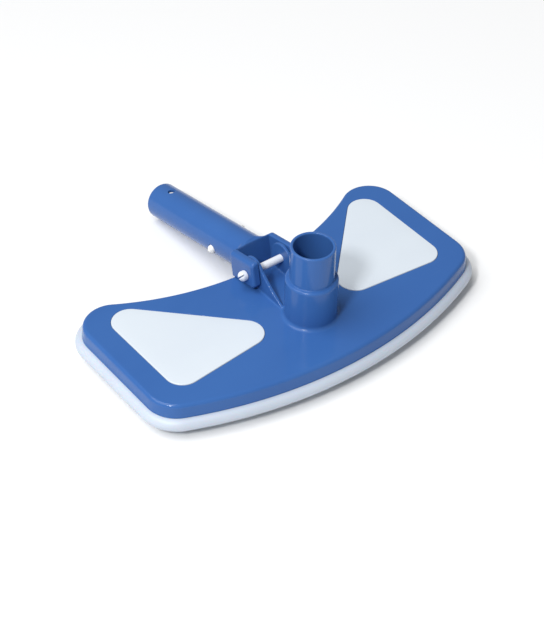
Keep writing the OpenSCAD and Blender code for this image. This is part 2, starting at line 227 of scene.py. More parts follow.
def convexity(mesh):
    """How far each vertex stands out over its neighbours, as a share of the distance to
    them: the dot product of its normal with its offset from the mean of its neighbours."""
    count = len(mesh.vertices)
    points = np.empty(count * 3)
    mesh.vertices.foreach_get("co", points)
    points = points.reshape(-1, 3)
    normals = np.empty(count * 3)
    mesh.vertex_normals.foreach_get("vector", normals)
    normals = normals.reshape(-1, 3)
    ends = np.empty(len(mesh.edges) * 2, np.int64)
    mesh.edges.foreach_get("vertices", ends)
    a, b = ends.reshape(-1, 2).T
    total, degree, reach = np.zeros((count, 3)), np.zeros(count), np.zeros(count)
    length = np.linalg.norm(points[a] - points[b], axis=1)
    for one, other in ((a, b), (b, a)):
        np.add.at(total, one, points[other] - points[one])
        np.add.at(degree, one, 1)
        np.add.at(reach, one, length)
    degree = np.maximum(degree, 1)
    out = -(total / degree[:, None] * normals).sum(1) / np.maximum(reach / degree, 1e-9)
    for _ in range(2):
        near = np.zeros(count)
        np.add.at(near, a, out[b])
        np.add.at(near, b, out[a])
        out = 0.5 * out + 0.5 * near / degree
    return out


def placed(mesh, name, material, body, nodes, sharp):
    """Finishes a mesh as a piece on a body: smooth up to an angle, with its convexity
    stored as "wear", one material, and the nodes it replaces."""
    mesh.shade_smooth()
    mesh.set_sharp_from_angle(angle=math.radians(sharp))
    wear = mesh.attributes.new("wear", "FLOAT", "POINT")
    wear.data.foreach_set("value", np.clip(convexity(mesh) * 4, 0, 1))
    mesh.materials.append(material)
    piece = bpy.data.objects.new(name, mesh)
    bpy.context.scene.collection.objects.link(piece)
    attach(piece, body)
    if nodes:
        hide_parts(*nodes)


def new_piece(name, parts, material, body, nodes, sharp=40, closed=True):
    """Makes an object from parts of (points, faces): merges what touches, and turns the
    faces outwards."""
    points, faces = joined(parts)
    mesh = bpy.data.meshes.new(name)
    mesh.from_pydata(points.tolist(), [], faces)
    bm = bmesh.new()
    bm.from_mesh(mesh)
    bmesh.ops.remove_doubles(bm, verts=bm.verts, dist=1e-6)
    bmesh.ops.dissolve_degenerate(bm, edges=bm.edges, dist=1e-7)
    if closed:
        bmesh.ops.recalc_face_normals(bm, faces=bm.faces)
    bm.to_mesh(mesh)
    bm.free()
    placed(mesh, name, material, body, nodes, sharp)


def shader_group(name, inputs, outputs):
    """A new shader node group with float inputs (name, value) and named outputs."""
    group = bpy.data.node_groups.new(name, "ShaderNodeTree")
    for label, value in inputs:
        socket = group.interface.new_socket(label, in_out="INPUT", socket_type="NodeSocketFloat")
        socket.default_value = value
    for label in outputs:
        group.interface.new_socket(label, in_out="OUTPUT", socket_type="NodeSocketFloat")
    return group, group.nodes.new("NodeGroupInput"), group.nodes.new("NodeGroupOutput")


def math_node(tree, operation, *values):
    """A Math node on numbers or sockets."""
    node = tree.nodes.new("ShaderNodeMath")
    node.operation = operation
    for slot, value in enumerate(values):
        if isinstance(value, (int, float)):
            node.inputs[slot].default_value = value
        else:
            tree.links.new(value, node.inputs[slot])
    return node.outputs[0]


def noise(tree, coords, scale, detail=3.0, stretch=None):
    """Noise on object coordinates, with cells per metre, stretched along some axes."""
    if stretch:
        mapping = tree.nodes.new("ShaderNodeMapping")
        mapping.inputs["Scale"].default_value = stretch
        tree.links.new(coords, mapping.inputs["Vector"])
        coords = mapping.outputs[0]
    node = tree.nodes.new("ShaderNodeTexNoise")
    node.inputs["Scale"].default_value = scale
    node.inputs["Detail"].default_value = detail
    tree.links.new(coords, node.inputs["Vector"])
    return node.outputs[0]


def ramp(tree, value, low, high):
    """Maps a value from low..high to 0..1, smoothly and clamped."""
    node = tree.nodes.new("ShaderNodeMapRange")
    node.interpolation_type = "SMOOTHSTEP"
    node.inputs["From Min"].default_value = low
    node.inputs["From Max"].default_value = high
    tree.links.new(value, node.inputs["Value"])
    return node.outputs[0]


# Moulded plastic: a slow unevenness left by shrinkage, a fine grain from the mould,
# and slight flow marks. Height is in metres.
moulded_group, group_in, group_out = shader_group(
    "moulded_surface", (("Waviness", 0.00004), ("Grain", 0.000002), ("Grain Size", 1800.0)),
    ("Mottle", "Height", "Gloss Change"))
coords = moulded_group.nodes.new("ShaderNodeTexCoord").outputs["Object"]
slow = noise(moulded_group, coords, 28, 2.0)
broad = noise(moulded_group, coords, 9, 3.0, (1.0, 2.2, 1.0))
fine_node = moulded_group.nodes.new("ShaderNodeTexNoise")
fine_node.inputs["Detail"].default_value = 2.0
moulded_group.links.new(coords, fine_node.inputs["Vector"])
moulded_group.links.new(group_in.outputs["Grain Size"], fine_node.inputs["Scale"])
wave_height = math_node(moulded_group, "MULTIPLY", slow, group_in.outputs["Waviness"])
grain_height = math_node(moulded_group, "MULTIPLY", fine_node.outputs[0], group_in.outputs["Grain"])
height = math_node(moulded_group, "ADD", wave_height, grain_height)
moulded_group.links.new(height, group_out.inputs["Height"])
moulded_group.links.new(ramp(moulded_group, broad, 0.3, 0.7), group_out.inputs["Mottle"])
patches = ramp(moulded_group, noise(moulded_group, coords, 60, 4.0), 0.35, 0.75)
moulded_group.links.new(patches, group_out.inputs["Gloss Change"])

# Handling marks: rubbed edges where the surface is convex, and hairline scratches in
# two directions that show only here and there.
worn_group, group_in, group_out = shader_group(
    "handling_marks", (("Edge", 1.0), ("Scratches", 1.0)), ("Rubbed", "Scratched"))
coords = worn_group.nodes.new("ShaderNodeTexCoord").outputs["Object"]
wear_attribute = worn_group.nodes.new("ShaderNodeAttribute")
wear_attribute.attribute_name = "wear"
broken = ramp(worn_group, noise(worn_group, coords, 220, 4.0), 0.38, 0.72)
edge_mask = ramp(worn_group, wear_attribute.outputs["Fac"], 0.12, 0.75)
rubbed = math_node(worn_group, "MULTIPLY", edge_mask, broken)
rubbed = math_node(worn_group, "MULTIPLY", rubbed, group_in.outputs["Edge"])
worn_group.links.new(rubbed, group_out.inputs["Rubbed"])
first = ramp(worn_group, noise(worn_group, coords, 90, 2.0, (0.5, 26.0, 4.0)), 0.68, 0.72)
second = ramp(worn_group, noise(worn_group, coords, 90, 2.0, (22.0, 0.6, 5.0)), 0.70, 0.74)
where = ramp(worn_group, noise(worn_group, coords, 14, 2.0), 0.52, 0.68)
lines = math_node(worn_group, "MULTIPLY", math_node(worn_group, "MAXIMUM", first, second), where)
lines = math_node(worn_group, "MULTIPLY", lines, group_in.outputs["Scratches"])
worn_group.links.new(lines, group_out.inputs["Scratched"])


def plastic(name, colour, deep, roughness, edge=0.5, scratches=0.5, waviness=0.00004, grain=0.000002,
            grain_size=1800.0, coat=0.0, subsurface=0.0):
    """A moulded plastic: colour drifts to deep over the surface, rubbed edges and
    scratches are paler and duller, and the height of the moulding feeds a bump."""
    material, shader = plain_material(name, colour, roughness)
    tree = material.node_tree
    moulded = tree.nodes.new("ShaderNodeGroup")
    moulded.node_tree = moulded_group
    moulded.inputs["Waviness"].default_value = waviness
    moulded.inputs["Grain"].default_value = grain
    moulded.inputs["Grain Size"].default_value = grain_size
    worn = tree.nodes.new("ShaderNodeGroup")
    worn.node_tree = worn_group
    worn.inputs["Edge"].default_value = edge
    worn.inputs["Scratches"].default_value = scratches
    drift = tree.nodes.new("ShaderNodeMix")
    drift.data_type = "RGBA"
    drift.inputs["A"].default_value = colour
    drift.inputs["B"].default_value = deep
    tree.links.new(moulded.outputs["Mottle"], drift.inputs["Factor"])
    pale = tree.nodes.new("ShaderNodeMix")
    pale.data_type = "RGBA"
    pale.inputs["B"].default_value = tuple(min(1.0, c + 0.16 * (1 - c)) for c in colour[:3]) + (1,)
    tree.links.new(drift.outputs["Result"], pale.inputs["A"])
    faint = math_node(tree, "MULTIPLY", worn.outputs["Scratched"], 0.5)
    marks = math_node(tree, "MAXIMUM", worn.outputs["Rubbed"], faint)
    tree.links.new(marks, pale.inputs["Factor"])
    tree.links.new(pale.outputs["Result"], shader.inputs["Base Color"])
    dull = math_node(tree, "MULTIPLY_ADD", moulded.outputs["Gloss Change"], 0.07, roughness)
    tree.links.new(math_node(tree, "MULTIPLY_ADD", marks, 0.22, dull), shader.inputs["Roughness"])
    bump = tree.nodes.new("ShaderNodeBump")
    bump.inputs["Distance"].default_value = 1.0
    bump.inputs["Strength"].default_value = 1.0
    tree.links.new(moulded.outputs["Height"], bump.inputs["Height"])
    tree.links.new(bump.outputs["Normal"], shader.inputs["Normal"])
    shader.inputs["Coat Weight"].default_value = coat
    shader.inputs["Coat Roughness"].default_value = 0.08
    shader.inputs["Subsurface Weight"].default_value = subsurface
    shader.inputs["Subsurface Scale"].default_value = 0.004
    return material


BLUE = (0.040, 0.126, 0.368, 1)
DEEP_BLUE = (0.036, 0.116, 0.350, 1)
blue_plastic = plastic("blue_abs", BLUE, DEEP_BLUE, 0.14, edge=0.12, scratches=0.12)
blue_plastic.node_tree.nodes["Principled BSDF"].inputs["IOR"].default_value = 1.32


def pocket(grow, side):
    return inlay_outline(POCKET_GAP + grow, side)


edge_profile = [(-ROLL - HOLD, DECK_TOP)]
edge_profile += quarter(-ROLL, DECK_TOP - ROLL, ROLL, 0, 9)[::-1]
edge_profile += [(FLARE * 0.5, 0.021), (FLARE, WALL_FOOT + 0.0003)]
edge_profile += [(FLARE - 0.0003, WALL_FOOT), (-WALL, WALL_FOOT)]
edge_profile += [(-WALL, DECK_UNDER), (-WALL - HOLD, DECK_UNDER)]
deck_parts = [strip(outline, edge_profile)]
pocket_edge = 0.0003
pocket_profile = [(pocket_edge + HOLD, DECK_TOP)]
pocket_profile += quarter(pocket_edge, DECK_TOP - pocket_edge, pocket_edge, 90, 3)
pocket_profile += [(0, POCKET_FLOOR), (-HOLD, POCKET_FLOOR)]
pocket_loops = []
for side in (-1, 1):
    deck_parts.append(strip(lambda grow, side=side: pocket(grow, side), pocket_profile))
    deck_parts.append(flat_region([pocket(-HOLD, side)], POCKET_FLOOR))
    pocket_loops.append(pocket(pocket_edge + HOLD, side))
hole_profile = [(HOLD, DECK_TOP), (0, DECK_TOP), (0, DECK_UNDER), (HOLD, DECK_UNDER)]
deck_parts.append(strip(lambda grow: circle(HOLE_R + grow), hole_profile))
deck_parts.append(flat_region([outline(-ROLL - HOLD), circle(HOLE_R + HOLD)] + pocket_loops, DECK_TOP))
deck_parts.append(flat_region([outline(-WALL - HOLD), circle(HOLE_R + HOLD)], DECK_UNDER))
new_piece("deck", deck_parts, blue_plastic, "head", ("top_shell",))

# ---- Hub of the top shell -----------------------------------------------------
# The stepped hose spigot, the two ears for the pivot and their webs belong to the
# same moulding as the deck, and run into it and into each other with round fillets.

SPIGOT_UPPER_R, SPIGOT_LOWER_R, SPIGOT_BORE_R = 0.016, 0.019, 0.0138
SPIGOT_STEP, SPIGOT_TOP = DECK_TOP + 0.0338, DECK_TOP + 0.0618
THROAT_FOOT, THROAT_R = 0.0085, 0.0163
PIVOT = np.array([0, 0.050, 0.040])
EAR_R, EAR_MIDDLE, EAR_HALF = 0.0117, 0.01275, 0.00125
BOLT_HOLE_R = 0.00305


def round_join(a, b, radius):
    """The union of two distances, with a fillet of the given radius in the corner."""
    u, v = np.maximum(radius - a, 0), np.maximum(radius - b, 0)
    return np.maximum(radius, np.minimum(a, b)) - np.sqrt(u * u + v * v)


def round_cut(a, b, radius):
    """What lies inside both distances, with the outer corner rounded."""
    return -round_join(-a, -b, radius)


def slab(value, middle, half):
    """Distance to the layer within half of middle."""
    return np.abs(value - middle) - half


def tube_distance(x, y):
    return np.sqrt(x * x + y * y)


def polygon_distance(u, v, points):
    """Signed distance to a closed polygon: the nearest edge gives the size, and the count
    of edges crossed by a ray gives the sign, negative inside."""
    nearest = np.full(np.broadcast(u, v).shape, 1e9)
    inside = np.zeros(nearest.shape, bool)
    for p, q in zip(points, np.roll(points, -1, axis=0)):
        edge = q - p
        t = np.clip(((u - p[0]) * edge[0] + (v - p[1]) * edge[1]) / edge.dot(edge), 0, 1)
        du, dv = u - p[0] - t * edge[0], v - p[1] - t * edge[1]
        nearest = np.minimum(nearest, du * du + dv * dv)
        if p[1] != q[1]:
            crosses = (v >= min(p[1], q[1])) & (v < max(p[1], q[1]))
            inside ^= crosses & (u < p[0] + (v - p[1]) * edge[0] / edge[1])
    return np.where(inside, -1, 1) * np.sqrt(nearest)


def moulded(distance, low, high, step, settle=5):
    """The skin where a signed distance is zero: one point in each grid cell that the skin
    passes through, a quad across each grid edge that it crosses, and each point then
    moved along the gradient until the distance is zero."""
    axes = [np.arange(low[k] - step, high[k] + 2 * step, step) for k in range(3)]
    values = np.broadcast_to(distance(*np.ix_(*axes)), [len(a) for a in axes])
    inside = values < 0
    shape = np.array(values.shape) - 1
    total = sum(inside[i:i + shape[0], j:j + shape[1], k:k + shape[2]].astype(np.int8)
                for i in (0, 1) for j in (0, 1) for k in (0, 1))
    cells = np.argwhere((total > 0) & (total < 8))
    index = np.full(shape, -1)
    index[tuple(cells.T)] = np.arange(len(cells))
    points = np.array([axes[k][0] + (cells[:, k] + 0.5) * step for k in range(3)]).T
    h = step * 0.05

    def gradient(p):
        shifted = [(distance(*(p + h * e).T) - distance(*(p - h * e).T)) / (2 * h) for e in np.eye(3)]
        return np.stack(shifted, -1)

    start = points.copy()
    for _ in range(settle):
        slope = gradient(points)
        size = np.maximum((slope * slope).sum(1), 0.05)
        move = -(distance(*points.T) / size)[:, None] * slope
        points = np.clip(points + move, start - step, start + step)
    quads = []
    for axis in range(3):
        low_side = np.take(inside, range(values.shape[axis] - 1), axis)
        high_side = np.take(inside, range(1, values.shape[axis]), axis)
        crossed = np.argwhere(low_side != high_side)
        others = [k for k in range(3) if k != axis]
        inner = np.all([(crossed[:, k] > 0) & (crossed[:, k] < shape[k]) for k in others], axis=0)
        crossed = crossed[inner]
        ring = []
        for a, b in ((0, 0), (1, 0), (1, 1), (0, 1)):
            cell = crossed.copy()
            cell[:, others[0]] -= a
            cell[:, others[1]] -= b
            ring.append(index[tuple(cell.T)])
        ring = np.stack(ring, -1)
        leaving = low_side[tuple(crossed.T)] == (axis != 1)
        quads.append(np.where(leaving[:, None], ring, ring[:, ::-1]))
    return points, np.concatenate(quads)


def moulded_piece(name, skin, material, body, nodes, sharp=55):
    """Makes an object from the points and quads of a skin."""
    mesh = bpy.data.meshes.new(name)
    mesh.from_pydata(skin[0].tolist(), [], skin[1].tolist())
    placed(mesh, name, material, body, nodes, sharp)


foot, neck = np.array([0.014, DECK_TOP]), PIVOT[1:] + (-0.0097, 0.0062)
web_bend = np.linspace(0, 1, 12)[:, None]
chord = neck - foot
web_out = np.array([chord[1], -chord[0]]) / np.linalg.norm(chord)
web_line = foot + web_bend * chord + 4 * 0.00125 * web_bend * (1 - web_bend) * web_out
ear_outline = np.concatenate([
    [(0.014, 0.026)], web_line, arc(PIVOT[1:], EAR_R, 148, 0, 26), [(0.0606, DECK_TOP), (0.0606, 0.026)]])


def hub_distance(x, y, z):
    """Deck patch joined to the spigot's two stages and to the two ears, less the bore."""
    patch = np.maximum(slab(x, 0, 0.024), slab(y, 0.0185, 0.0425))
    patch = np.maximum(slab(z, DECK_TOP - 0.001, 0.000995), patch)
    r = tube_distance(x, y)
    lower = round_cut(r - SPIGOT_LOWER_R, slab(z, 0.042, SPIGOT_STEP - 0.042), 0.0018)
    upper = round_cut(r - SPIGOT_UPPER_R, slab(z, 0.060, SPIGOT_TOP - 0.060), 0.0009)
    body = round_join(lower, upper, 0.0006)
    body = round_join(body, patch, 0.003)
    ear = round_cut(polygon_distance(y, z, ear_outline), slab(np.abs(x), EAR_MIDDLE, EAR_HALF), 0.0005)
    body = round_join(body, ear, 0.0014)
    throat = round_cut(r - THROAT_R, slab(z, 0.020, 0.020 - THROAT_FOOT), 0.0004)
    body = np.minimum(body, throat)
    body = round_cut(body, SPIGOT_BORE_R - r, 0.0009)
    bolt_hole = BOLT_HOLE_R - tube_distance(y - PIVOT[1], z - PIVOT[2])
    return round_cut(body, bolt_hole, 0.0002)


hub_step = 0.0006
hub_skin = moulded(hub_distance, (-0.025, -0.0245, 0.008), (0.025, 0.0625, 0.0905), hub_step)
moulded_piece("spigot_and_ears", hub_skin, blue_plastic, "head", ("spigot", "ear_left", "ear_right"))

# ---- Handle ---------------------------------------------------------------------
# One blue moulding: a round tube that slides into the pole, and a yoke whose two
# cheeks take the pivot bolt. The yoke's block runs into the tube with a round fillet.

TILT = math.radians(10.8)
TUBE_R, TUBE_BORE_R = 0.0141, 0.0116
TUBE_END, BORE_START, CROSS_HOLE_R = 0.139, 0.0285, 0.00275
SLOT_HALF, SLOT_END, CHEEK_OUT = 0.0145, 0.0172, 0.0205
CHEEK_TOP, CHEEK_BOTTOM, CHEEK_FRONT, NOSE_R = 0.012, -0.0092, -0.0095, 0.0113
YOKE_BACK = 0.0187
BUTTON_AT, BUTTON_R, BUTTON_HOLE_R = 0.0526, 0.0032, 0.0036
CLIP_TURN = math.radians(12)

nose_from = 180 + math.degrees(math.acos(0.0095 / NOSE_R))
nose_to = 360 - math.degrees(math.acos(0.0065 / NOSE_R))
cheek_outline = np.concatenate([
    [(CHEEK_FRONT, 2 * CHEEK_TOP)], arc((0, 0), NOSE_R, nose_from, nose_to, 12),
    [(YOKE_BACK, CHEEK_BOTTOM), (YOKE_BACK, 2 * CHEEK_TOP)]])
cheek_outline[:, 1] = np.maximum(cheek_outline[:, 1], CHEEK_BOTTOM)
CHEEK_ROUND = 0.0034


def handle_distance(x, s, n):
    """Distance to the handle, with s along the tube from the pivot and n above its axis:
    tube joined to the yoke's block, less the slot, the bore and the holes."""
    r = tube_distance(x, n)
    length = slab(s, (SLOT_END + TUBE_END) / 2 + 0.001, (TUBE_END - SLOT_END) / 2 - 0.001)
    tube = round_cut(r - TUBE_R, length, 0.0007)
    beyond, above = np.abs(x) - CHEEK_OUT + CHEEK_ROUND, n - CHEEK_TOP + CHEEK_ROUND
    arch = np.minimum(np.maximum(beyond, above), 0) - CHEEK_ROUND
    arch = arch + tube_distance(np.maximum(beyond, 0), np.maximum(above, 0))
    block = round_cut(polygon_distance(s, n, cheek_outline), arch, 0.0018)
    body = round_join(tube, block, 0.0035)
    slot = np.maximum(np.abs(x) - SLOT_HALF, s - SLOT_END)
    body = round_cut(body, -slot, 0.0007)
    body = round_cut(body, -np.maximum(r - TUBE_BORE_R, BORE_START - s), 0.0006)
    body = round_cut(body, BOLT_HOLE_R - tube_distance(s, n), 0.0002)
    across = n * math.cos(CLIP_TURN) - x * math.sin(CLIP_TURN)
    body = round_cut(body, BUTTON_HOLE_R - tube_distance(s - BUTTON_AT, across), 0.0003)
    return round_cut(body, CROSS_HOLE_R - tube_distance(s - TUBE_END + 0.016, x), 0.0003)


def at_pivot(points):
    """Turns points (x, s, n) from the handle's own frame down by the tilt, and moves them
    to the pivot."""
    x, s, n = np.asarray(points).T
    y = s * math.cos(TILT) + n * math.sin(TILT)
    z = n * math.cos(TILT) - s * math.sin(TILT)
    return np.stack([x, y, z], -1) + PIVOT


def handle_piece(name, distance, low, high, step, material, node, sharp=55):
    """Makes a piece of the handle from a distance in the handle's own frame."""
    points, quads = moulded(distance, low, high, step)
    moulded_piece(name, (at_pivot(points), quads), material, "pole_handle", (node,), sharp)


handle_step = 0.00068
handle_piece("handle_moulding", handle_distance, (-0.0212, -0.0122, -0.0148), (0.0212, 0.1396, 0.0148),
             handle_step, blue_plastic, "handle")

# ---- Inlays ----------------------------------------------------------------------
# Two white ABS plates, rounded triangles that snap into the pockets of the deck. They
# stand a little proud, are slightly crowned, and have a small round edge.

INLAY_TOP = 0.02845
INLAY_EDGE = 0.0007
INLAY_CROWN, CROWN_REACH = 0.00022, 0.009
INLAY_WHITE = (0.640, 0.700, 0.760, 1)
INLAY_SHADE = (0.620, 0.680, 0.745, 1)
INLAY_SEAT, SEAT_HOLD = 0.02682, 0.0006
CROWN_STEPS = (0.0004, 0.001, 0.002, 0.0035, 0.005, 0.007, CROWN_REACH)
inlay_plastic = plastic("inlay_abs", INLAY_WHITE, INLAY_SHADE, 0.32, edge=0.15, scratches=0.5, coat=0.1,
                        waviness=0.00003)


def crown(inside):
    """Height of the crown at a distance inside the edge: a parabola up to its reach."""
    return INLAY_CROWN * (1 - (1 - min(inside / CROWN_REACH, 1)) ** 2)


for side, side_name in ((-1, "left"), (1, "right")):
    profile = [(-SEAT_HOLD, INLAY_SEAT), (0, INLAY_SEAT), (0, INLAY_TOP - INLAY_EDGE)]
    profile += quarter(-INLAY_EDGE, INLAY_TOP - INLAY_EDGE, INLAY_EDGE, 0)[1:]
    profile += [(-INLAY_EDGE - d, INLAY_TOP + crown(d)) for d in CROWN_STEPS]
    parts = [strip(lambda grow, side=side: inlay_outline(grow, side), profile)]
    parts.append(flat_region([inlay_outline(-INLAY_EDGE - CROWN_REACH, side)], INLAY_TOP + INLAY_CROWN))
    parts.append(flat_region([inlay_outline(-SEAT_HOLD, side)], INLAY_SEAT))
    new_piece("inlay_plate_" + side_name, parts, inlay_plastic, "head", ("inlay_" + side_name,))

# ---- Bumper ------------------------------------------------------------------------
# A soft vinyl ring with a half-round nose, pushed over the foot of the side wall. A
# thin lip on its inner side is held between the shell and the base plate.

BUMPER_MIDDLE, NOSE_OUT, NOSE_RADIUS = 0.012, 0.0059, 0.005
BUMPER_WHITE = (0.520, 0.580, 0.670, 1)
BUMPER_SHADE = (0.495, 0.555, 0.645, 1)
bumper_vinyl = plastic("bumper_vinyl", BUMPER_WHITE, BUMPER_SHADE, 0.42, edge=0.0, scratches=0.35,
                       waviness=0.00007, grain=0.000004, grain_size=1200, subsurface=0.12)
nose = arc((NOSE_OUT - NOSE_RADIUS, BUMPER_MIDDLE), NOSE_RADIUS, 90, -90, 19).tolist()
bumper_lip = [(-0.0036, 0.007), (-0.004, 0.0074), (-0.004, 0.0105), (-0.0071, 0.0105), (-0.0075, 0.0109),
              (-0.0075, 0.0121), (-0.0071, 0.0125), (-0.0031, 0.0125), (-0.0030, 0.0170)]
bumper_profile = nose + bumper_lip + nose[:1]
new_piece("bumper_ring", [strip(outline, bumper_profile)], bumper_vinyl, "head", ("bumper",))

# ---- Ring rib and posts ----------------------------------------------------------------
# Under the deck, a rib runs round inside the side wall, and six bosses for the base
# screws and six short posts that hold the weights down stand on the same moulding.

BASE_TOP, LIP_TOP = 0.0105, 0.0125
BASE_SCREWS = np.array([(0.128, 0.030), (0.027, -0.012), (0.027, 0.024)])
POSTS = np.array([(0.072, 0.022), (0.098, 0.024), (0.098, 0.056)])
BASE_SCREW_R = 0.0015


def lathe(profile, places, count=40):
    """Turns a profile of (radius, height) pairs about each vertical line through places:
    ring k has that radius and height, quads join the rings, and a zero radius is a pole."""
    def ring(radius):
        return circle(max(radius, 1e-7), count)
    points, faces = strip(ring, profile)
    return [(points + (x, y, 0), faces) for x, y in places]


def both_sides(places):
    """Places on the right side and their mirror images on the left."""
    return np.concatenate([places, places * (-1, 1)])


rib = [(-0.0043, LIP_TOP), (-0.0043, 0.0252), (-0.0063, 0.0252), (-0.0063, LIP_TOP), (-0.0043, LIP_TOP)]
boss = [(BASE_SCREW_R, 0.0205), (BASE_SCREW_R, BASE_TOP), (0.0036, BASE_TOP)]
boss += [(0.004, BASE_TOP + 0.0004), (0.0042, 0.0252)]
post = [(0, 0.0185), (0.0027, 0.0185), (0.003, 0.0188), (0.0031, 0.0252)]
ribs = [strip(outline, rib)] + lathe(boss, both_sides(BASE_SCREWS)) + lathe(post, both_sides(POSTS))
new_piece("rib_and_bosses", ribs, blue_plastic, "head", ())

# ---- Base plate -----------------------------------------------------------------------
# The white ABS floor of the head: a flat plate with a mouth under the hose, and pads'
# bosses on its upper side.

BASE_UNDER, BASE_IN, MOUTH_R = 0.008, -0.0043, 0.0165
FRONT_PAD = (FRONT_Y + FRONT_R, 0.308, 2.6, 19.0, (6, 15))
REAR_PAD = (REAR_Y + REAR_R, 0.227, 3.5, 25.0, (9, 20))
BASE_GREY = (0.700, 0.745, 0.810, 1)
BASE_DUSK = (0.640, 0.690, 0.765, 1)
base_plastic = plastic("base_abs", BASE_GREY, BASE_DUSK, 0.45, edge=0.3, scratches=0.9, grain=0.000006,
                       grain_size=1400)


def pad_screw_places(pad):
    """Places of a right-hand pad's two screws, on the arc that runs along its middle."""
    angle = np.radians(pad[4])
    return np.stack([pad[1] * np.sin(angle), pad[0] - pad[1] * np.cos(angle)], -1)


pad_screws = both_sides(np.concatenate([pad_screw_places(FRONT_PAD), pad_screw_places(REAR_PAD)]))
edge = 0.0004
plate_profile = [(BASE_IN - edge - HOLD, BASE_UNDER), (BASE_IN - edge, BASE_UNDER)]
plate_profile += [(BASE_IN - 0.0001, BASE_UNDER + 0.0001), (BASE_IN, BASE_UNDER + edge)]
plate_profile += [(BASE_IN, BASE_TOP), (BASE_IN - HOLD, BASE_TOP)]
mouth_profile = [(edge + HOLD, BASE_TOP), (0, BASE_TOP), (0, BASE_UNDER + edge)]
mouth_profile += [(0.0001, BASE_UNDER + 0.0001), (edge, BASE_UNDER), (edge + HOLD, BASE_UNDER)]
base_parts = [strip(outline, plate_profile), strip(lambda grow: circle(MOUTH_R + grow), mouth_profile)]
base_parts.append(flat_region([outline(BASE_IN - HOLD), circle(MOUTH_R + edge + HOLD)], BASE_TOP))
base_parts.append(flat_region([outline(BASE_IN - edge - HOLD), circle(MOUTH_R + edge + HOLD)], BASE_UNDER))
pad_boss = [(0.0030, BASE_TOP - 0.0001), (0.0029, 0.0137), (0.0026, 0.0140)]
pad_boss += [(0.0012, 0.0140), (0.0012, 0.0120)]
base_parts += lathe(pad_boss, pad_screws, 32)
new_piece("base_floor", base_parts, base_plastic, "head", ("base_plate",))

# ---- Weights --------------------------------------------------------------------------
# Two coated steel plates that lie on the base plate inside the shell and keep the head
# on the floor of the pool. They are cut to the shape of the inlays above them.

WEIGHT_TOP = 0.0185
STEEL_GREY = (0.110, 0.120, 0.130, 1)
STEEL_DARK = (0.070, 0.078, 0.086, 1)
WEIGHT_FOOT, WEIGHT_IN, WEIGHT_HOLD, WEIGHT_EDGE = BASE_TOP + 0.00002, -0.0026, -0.0036, 0.0006
weight_coat = plastic("weight_coating", STEEL_GREY, STEEL_DARK, 0.5, edge=1.0, scratches=1.0,
                      grain=0.00002, grain_size=900)
for side, side_name in ((-1, "left"), (1, "right")):
    profile = [(WEIGHT_HOLD, WEIGHT_FOOT), (WEIGHT_IN, WEIGHT_FOOT)]
    profile += quarter(WEIGHT_IN, BASE_TOP + WEIGHT_EDGE, WEIGHT_EDGE, -90, 4)[1:]
    profile += quarter(WEIGHT_IN, WEIGHT_TOP - WEIGHT_EDGE, WEIGHT_EDGE, 0, 4) + [(WEIGHT_HOLD, WEIGHT_TOP)]
    parts = [strip(lambda grow, side=side: inlay_outline(grow, side), profile)]
    parts += [flat_region([inlay_outline(WEIGHT_HOLD, side)], z) for z in (WEIGHT_FOOT, WEIGHT_TOP)]
    new_piece("ballast_" + side_name, parts, weight_coat, "head", ("weight_" + side_name,))

# ---- Brush pads and bristles ---------------------------------------------------------
# Four curved strips of satin plastic screwed under the base plate. Two rows of nylon
# tufts stand in each strip; a tuft is a bundle of fine filaments that spreads downwards.

PAD_UNDER, PAD_SEAT, PAD_HALF, ROW_OFF, ROW_HALF = 0.006, BASE_UNDER - 0.00002, 0.0065, 0.0042, 0.0016
PAD_HOLD, PAD_EDGE = 0.001, 0.0005
TUFTS, FILAMENTS, FILAMENT_R = 24, 26, 0.00017
PAD_GREY, PAD_DUSK = (0.620, 0.670, 0.750, 1), (0.560, 0.615, 0.700, 1)
NYLON, NYLON_DUSK = (0.780, 0.820, 0.870, 1), (0.660, 0.700, 0.755, 1)
pad_plastic = plastic("pad_plastic", PAD_GREY, PAD_DUSK, 0.5, edge=0.5, scratches=0.8, grain=0.000008,
                      grain_size=1300)
bristle_nylon = plastic("bristle_nylon", NYLON, NYLON_DUSK, 0.38, edge=0, scratches=0, grain=0.000001,
                        subsurface=0.1)


def pad_outline(pad, half, side):
    """Curved strip with round ends: an arc at radius plus half, a half circle, an arc
    back at radius minus half, and the other half circle."""
    centre, first, last = np.array([0, pad[0]]), pad[2] - 90, pad[3] - 90
    ends = arc(centre, pad[1], last, first, 2)
    loop = np.concatenate([
        arc(centre, pad[1] + half, first, last, 30), arc(ends[0], half, last, last + 180, 14)[1:-1],
        arc(centre, pad[1] - half, last, first, 30), arc(ends[1], half, first + 180, first + 360, 14)[1:-1]])
    return loop * (side, 1)


